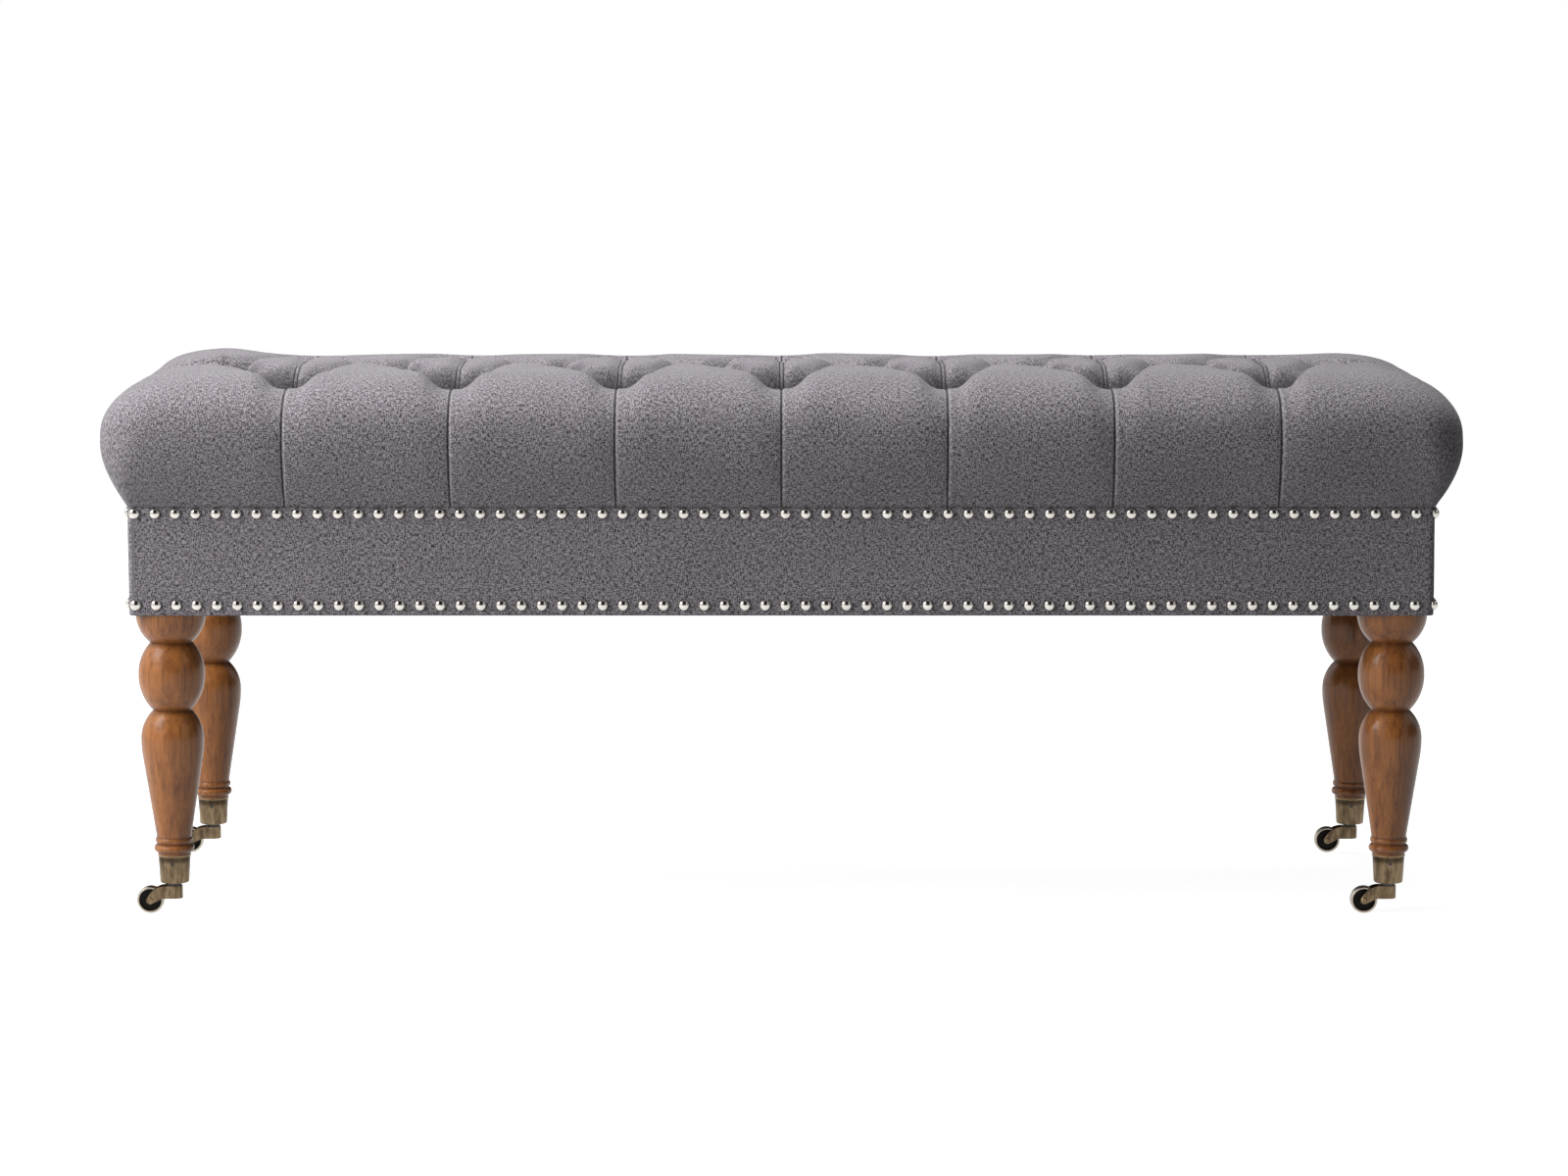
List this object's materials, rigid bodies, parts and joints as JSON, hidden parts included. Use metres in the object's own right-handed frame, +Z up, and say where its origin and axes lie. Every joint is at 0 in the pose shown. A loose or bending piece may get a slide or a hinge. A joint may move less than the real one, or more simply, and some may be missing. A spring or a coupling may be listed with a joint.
{
  "type": "upholstered bench",
  "caption": "Long bench with a deep button-tufted cushion over a fabric band edged with domed nails, on turned wood legs with swivelling cup casters.",
  "frame": {"origin": "on the floor under the middle of the bench: the centre of the bounding box's base", "axes": "+X along the bench to the right as seen from its front, +Y from the front to the back, +Z up"},
  "size_m": [1.275, 0.45, 0.5137],
  "materials": {
    "upholstery": "heathered grey plain weave",
    "foam": "open-cell foam pad",
    "leg_wood": "brown stain under satin lacquer",
    "frame_wood": "planed softwood, unfinished",
    "plywood": "sanded plywood, unfinished",
    "dust_cloth": "black spun-bonded cloth",
    "twine": "waxed linen twine",
    "nickel": "polished nickel",
    "antique_brass": "brushed antique brass",
    "dark_steel": "dark oxidised steel",
    "zinc_steel": "zinc-plated steel"
  },
  "bodies": {
    "root": {"seat_cover": "upholstery", "apron_fabric": "upholstery", "tuft_buttons": "upholstery", "seat_foam": "foam", "leg_front_left": "leg_wood", "leg_front_right": "leg_wood", "leg_rear_left": "leg_wood", "leg_rear_right": "leg_wood", "frame_front_rail": "frame_wood", "frame_rear_rail": "frame_wood", "frame_left_rail": "frame_wood", "frame_right_rail": "frame_wood", "frame_cross_rails": "frame_wood", "corner_blocks": "frame_wood", "seat_board": "plywood", "dust_cover": "dust_cloth", "button_twines": "twine", "nails_upper": "nickel", "nails_lower": "nickel", "caster_cup_front_left": "antique_brass", "caster_cup_front_right": "antique_brass", "caster_cup_rear_left": "antique_brass", "caster_cup_rear_right": "antique_brass", "cup_screws": "dark_steel", "tee_nuts": "zinc_steel", "hanger_bolts": "zinc_steel"},
    "horn_front_left": {"caster_horn_front_left": "antique_brass", "caster_kingpin_front_left": "dark_steel", "caster_collar_front_left": "dark_steel", "caster_axle_front_left": "dark_steel"},
    "wheel_front_left": {"caster_wheel_front_left": "antique_brass"},
    "horn_front_right": {"caster_horn_front_right": "antique_brass", "caster_kingpin_front_right": "dark_steel", "caster_collar_front_right": "dark_steel", "caster_axle_front_right": "dark_steel"},
    "wheel_front_right": {"caster_wheel_front_right": "antique_brass"},
    "horn_rear_left": {"caster_horn_rear_left": "antique_brass", "caster_kingpin_rear_left": "dark_steel", "caster_collar_rear_left": "dark_steel", "caster_axle_rear_left": "dark_steel"},
    "wheel_rear_left": {"caster_wheel_rear_left": "antique_brass"},
    "horn_rear_right": {"caster_horn_rear_right": "antique_brass", "caster_kingpin_rear_right": "dark_steel", "caster_collar_rear_right": "dark_steel", "caster_axle_rear_right": "dark_steel"},
    "wheel_rear_right": {"caster_wheel_rear_right": "antique_brass"}
  },
  "joints": [
    {"name": "swivel_front_left", "type": "hinge", "parent": "root", "child": "horn_front_left", "pos_m": [-0.5762, -0.1637, 0.0202], "axis": [0, 0, 1], "continuous": true},
    {"name": "spin_front_left", "type": "hinge", "parent": "horn_front_left", "child": "wheel_front_left", "pos_m": [-0.5992, -0.1637, 0.0127], "axis": [0, 1, 0], "continuous": true},
    {"name": "swivel_front_right", "type": "hinge", "parent": "root", "child": "horn_front_right", "pos_m": [0.5762, -0.1637, 0.0202], "axis": [0, 0, 1], "continuous": true},
    {"name": "spin_front_right", "type": "hinge", "parent": "horn_front_right", "child": "wheel_front_right", "pos_m": [0.5532, -0.1637, 0.0127], "axis": [0, 1, 0], "continuous": true},
    {"name": "swivel_rear_left", "type": "hinge", "parent": "root", "child": "horn_rear_left", "pos_m": [-0.5762, 0.1637, 0.0202], "axis": [0, 0, 1], "continuous": true},
    {"name": "spin_rear_left", "type": "hinge", "parent": "horn_rear_left", "child": "wheel_rear_left", "pos_m": [-0.5992, 0.1637, 0.0127], "axis": [0, 1, 0], "continuous": true},
    {"name": "swivel_rear_right", "type": "hinge", "parent": "root", "child": "horn_rear_right", "pos_m": [0.5762, 0.1637, 0.0202], "axis": [0, 0, 1], "continuous": true},
    {"name": "spin_rear_right", "type": "hinge", "parent": "horn_rear_right", "child": "wheel_rear_right", "pos_m": [0.5532, 0.1637, 0.0127], "axis": [0, 1, 0], "continuous": true}
  ]
}
